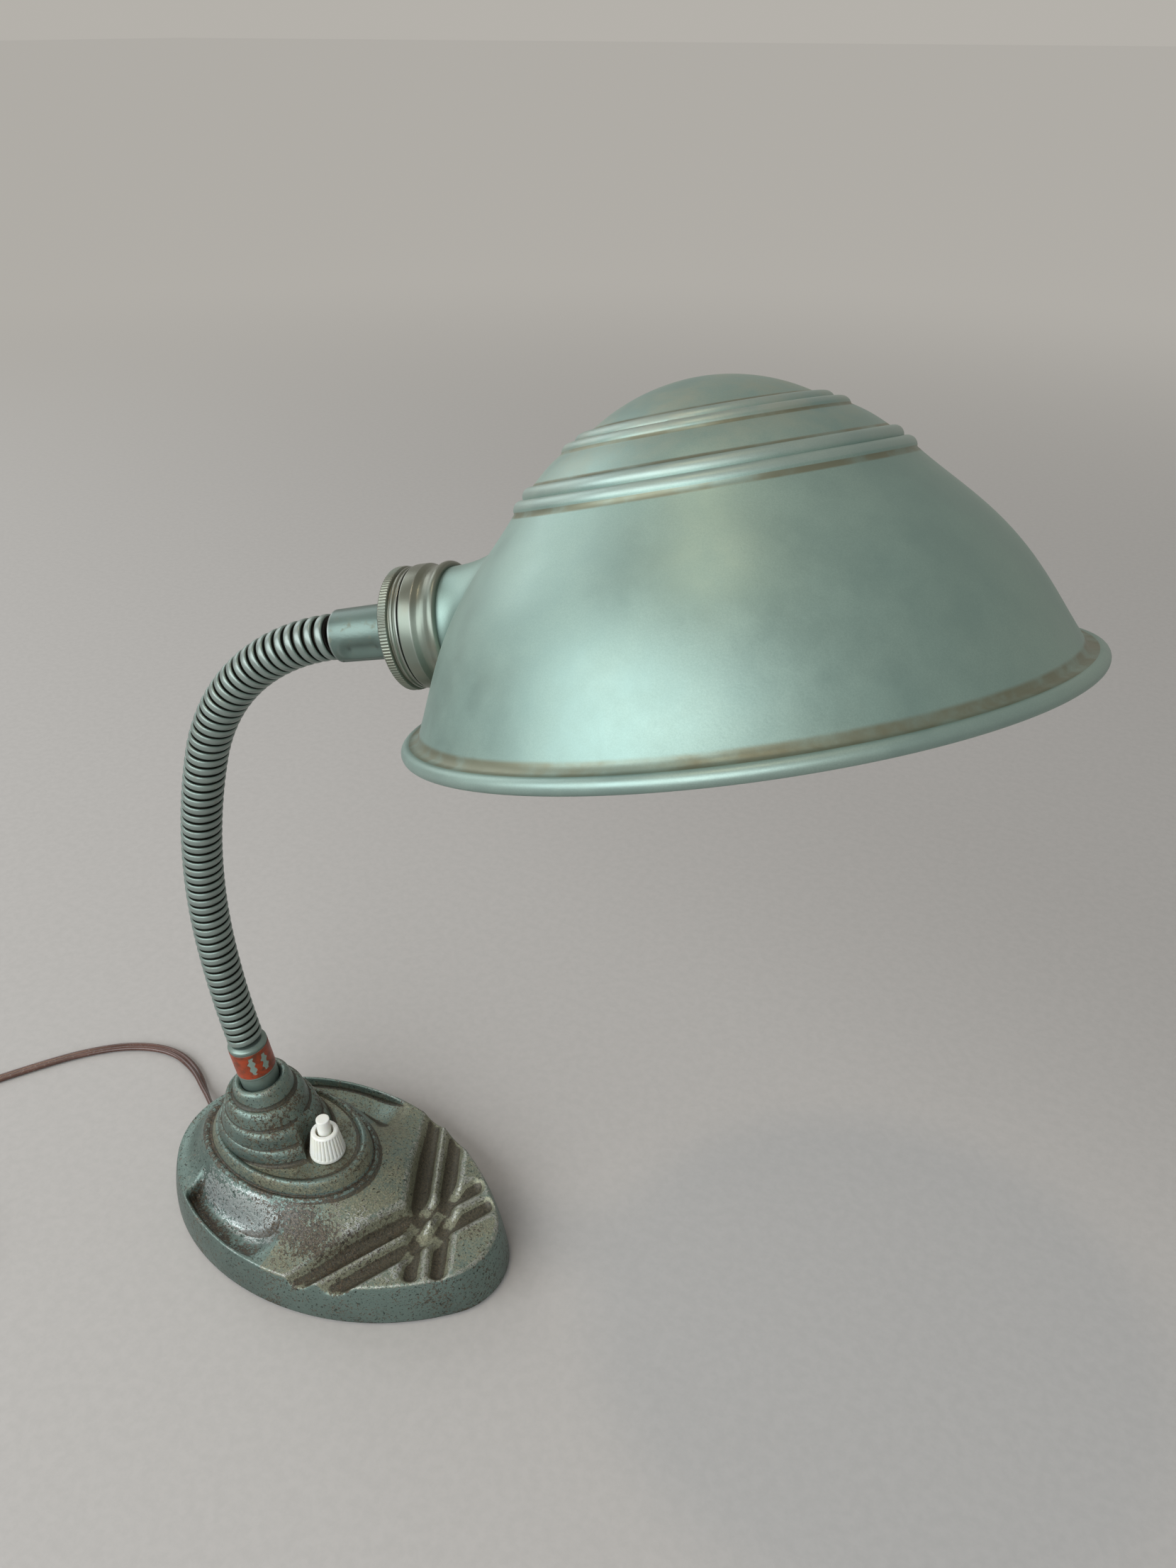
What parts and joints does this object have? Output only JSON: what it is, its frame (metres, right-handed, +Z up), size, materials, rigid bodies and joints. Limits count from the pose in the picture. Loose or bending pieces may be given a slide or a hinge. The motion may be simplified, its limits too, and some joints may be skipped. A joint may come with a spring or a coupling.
{
  "type": "gooseneck desk lamp",
  "caption": "Gooseneck desk lamp: bell shade on a bendable neck, heavy oval base with stepped boss, pen grooves, clip trays, push switch and a coiled flex with plug.",
  "frame": {"origin": "centre of the base outline's length and width, on the surface that the felt rests on", "axes": "+X towards the nose of the base and the shade, +Y to the left of the base seen from behind the neck, +Z up"},
  "size_m": [0.5048, 0.2788, 0.3839],
  "materials": {
    "base_paint": "worn metallic green-grey paint with rust",
    "shade_paint": "aged metallic green-grey paint",
    "holder_brass": "darkened polished brass",
    "ferrule_rust": "orange red worn paint",
    "steel": "plain steel",
    "white_plastic": "aged white plastic",
    "black_plastic": "black",
    "brass": "plain",
    "felt": "dark felt",
    "ceramic": "glazed white",
    "bulb_metal": "bright",
    "bulb_glass": "frosted",
    "pins": "nickel plated",
    "cord": "glossy brown"
  },
  "bodies": {
    "base": {"base_casting": "base_paint", "felt_pad": "felt", "bottom_plate": "steel", "bottom_plate_screws": "steel", "switch_collar": "white_plastic", "switch_body": "black_plastic", "switch_spring": "steel", "switch_terminals": "brass", "neck_ferrule": "shade_paint", "ferrule_band": "ferrule_rust", "neck_washer": "steel", "neck_nut": "steel", "cord_bushing": "cord", "cord_inside": "cord", "cord_clamp": "black_plastic", "cord_clamp_screws": "steel", "power_cord": "cord", "cord_coil": "cord", "cord_tie": "black_plastic", "plug_body": "cord", "plug_pins": "pins", "cord_tail": "cord"},
    "button": {"switch_button": "white_plastic"},
    "link_01": {"neck_link_01": "shade_paint"},
    "link_02": {"neck_link_02": "shade_paint"},
    "link_03": {"neck_link_03": "shade_paint"},
    "link_04": {"neck_link_04": "shade_paint"},
    "link_05": {"neck_link_05": "shade_paint"},
    "link_06": {"neck_link_06": "shade_paint"},
    "link_07": {"neck_link_07": "shade_paint"},
    "link_08": {"neck_link_08": "shade_paint"},
    "link_09": {"neck_link_09": "shade_paint"},
    "link_10": {"neck_link_10": "shade_paint"},
    "link_11": {"neck_link_11": "shade_paint"},
    "link_12": {"neck_link_12": "shade_paint"},
    "link_13": {"neck_link_13": "shade_paint"},
    "link_14": {"neck_link_14": "shade_paint"},
    "link_15": {"neck_link_15": "shade_paint"},
    "holder": {"neck_sleeve": "shade_paint", "holder_cap": "holder_brass", "holder_nipple": "steel", "holder_sleeve": "steel", "lampholder_ceramic": "ceramic", "screw_shell": "brass", "centre_contact": "brass", "holder_terminal_screws": "steel", "shade_ring": "holder_brass", "bulb_contact": "brass", "bulb_insulator": "ceramic", "bulb_cap": "bulb_metal", "bulb_glass": "bulb_glass"},
    "shade": {"shade": "shade_paint", "shade_collar": "holder_brass"}
  },
  "joints": [
    {"name": "neck_bend_01", "type": "hinge", "parent": "base", "child": "link_01", "pos_m": [-0.04031, -0.00076, 0.09028], "axis": [-0.238, 0.9713, 0], "range_deg": [-7, 7]},
    {"name": "neck_side_02", "type": "hinge", "parent": "link_01", "child": "link_02", "pos_m": [-0.04215, -0.00121, 0.10572], "axis": [-0.966, -0.2367, -0.1039], "range_deg": [-7, 7]},
    {"name": "neck_bend_03", "type": "hinge", "parent": "link_02", "child": "link_03", "pos_m": [-0.04345, -0.00153, 0.12122], "axis": [-0.238, 0.9713, 0], "range_deg": [-7, 7]},
    {"name": "neck_side_04", "type": "hinge", "parent": "link_03", "child": "link_04", "pos_m": [-0.04422, -0.00172, 0.13676], "axis": [-0.9707, -0.2379, -0.033], "range_deg": [-7, 7]},
    {"name": "neck_bend_05", "type": "hinge", "parent": "link_04", "child": "link_05", "pos_m": [-0.0444, -0.00176, 0.15232], "axis": [-0.238, 0.9713, 0], "range_deg": [-7, 7]},
    {"name": "neck_side_06", "type": "hinge", "parent": "link_05", "child": "link_06", "pos_m": [-0.04378, -0.00161, 0.16786], "axis": [-0.9689, -0.2375, 0.069], "range_deg": [-7, 7]},
    {"name": "neck_bend_07", "type": "hinge", "parent": "link_06", "child": "link_07", "pos_m": [-0.04231, -0.00125, 0.18335], "axis": [-0.238, 0.9713, 0], "range_deg": [-7, 7]},
    {"name": "neck_side_08", "type": "hinge", "parent": "link_07", "child": "link_08", "pos_m": [-0.04002, -0.00069, 0.19873], "axis": [-0.9556, -0.2342, 0.1789], "range_deg": [-7, 7]},
    {"name": "neck_bend_09", "type": "hinge", "parent": "link_08", "child": "link_09", "pos_m": [-0.03691, 0.00007, 0.21395], "axis": [-0.238, 0.9713, 0], "range_deg": [-7, 7]},
    {"name": "neck_side_10", "type": "hinge", "parent": "link_09", "child": "link_10", "pos_m": [-0.03298, 0.00103, 0.22897], "axis": [-0.9305, -0.228, 0.2866], "range_deg": [-7, 7]},
    {"name": "neck_bend_11", "type": "hinge", "parent": "link_10", "child": "link_11", "pos_m": [-0.02812, 0.00223, 0.2437], "axis": [-0.238, 0.9713, 0], "range_deg": [-4, 4]},
    {"name": "neck_side_12", "type": "hinge", "parent": "link_11", "child": "link_12", "pos_m": [-0.0212, 0.00392, 0.25751], "axis": [-0.8233, -0.2018, 0.5306], "range_deg": [-5.5, 5.5]},
    {"name": "neck_bend_13", "type": "hinge", "parent": "link_12", "child": "link_13", "pos_m": [-0.01198, 0.00618, 0.26981], "axis": [-0.238, 0.9713, 0], "range_deg": [-4, 4]},
    {"name": "neck_side_14", "type": "hinge", "parent": "link_13", "child": "link_14", "pos_m": [-0.00061, 0.00897, 0.28002], "axis": [-0.5637, -0.1381, 0.8143], "range_deg": [-5.5, 5.5]},
    {"name": "neck_bend_15", "type": "hinge", "parent": "link_14", "child": "link_15", "pos_m": [0.01247, 0.01217, 0.28776], "axis": [-0.238, 0.9713, 0], "range_deg": [-4, 4]},
    {"name": "neck_side_16", "type": "hinge", "parent": "link_15", "child": "holder", "pos_m": [0.02677, 0.01568, 0.29272], "axis": [-0.2185, -0.0535, 0.9744], "range_deg": [-5.5, 5.5]},
    {"name": "shade_turn", "type": "hinge", "parent": "holder", "child": "shade", "pos_m": [0.07031, 0.02635, 0.30306], "axis": [0.9464, 0.2319, 0.225], "range_deg": [-90, 90]},
    {"name": "switch_press", "type": "slide", "parent": "base", "child": "button", "axis": [0, 0, -1], "range_m": [0, 0.003], "stiffness_N_per_m": 400, "springref_m": -0.002, "deforming": ["switch_spring"]}
  ]
}
